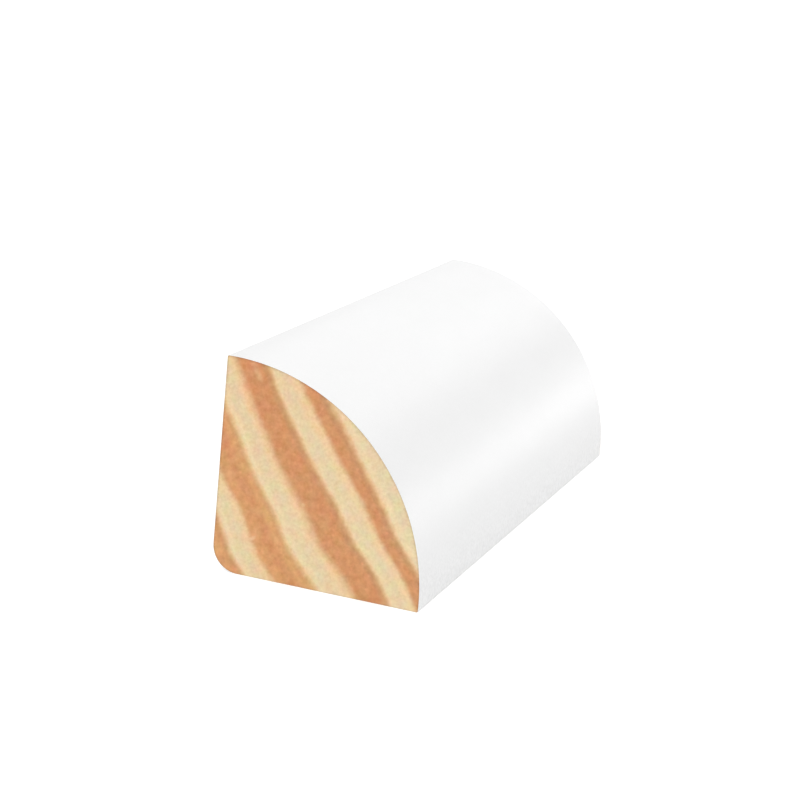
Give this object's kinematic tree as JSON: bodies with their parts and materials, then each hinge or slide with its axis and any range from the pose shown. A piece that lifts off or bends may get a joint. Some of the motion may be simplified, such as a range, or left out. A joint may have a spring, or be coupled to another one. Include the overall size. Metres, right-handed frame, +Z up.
{
  "type": "quarter round moulding",
  "caption": "Short length of quarter round moulding: a quarter-circle section with an eased heel and narrow toe flats, white primed along its faces and bare at its cut ends.",
  "frame": {"origin": "in the plane of the floor leg, half way between wall and toe and half way along the length", "axes": "+X from the wall leg to the toe, +Y along the stock, +Z up the wall leg"},
  "size_m": [0.019, 0.059, 0.0191],
  "materials": {
    "primed_pine": "smooth white primer along the faces, bare sawn pine end grain on both cut ends"
  },
  "bodies": {
    "root": {"quarter_round": "primed_pine"}
  },
  "joints": []
}
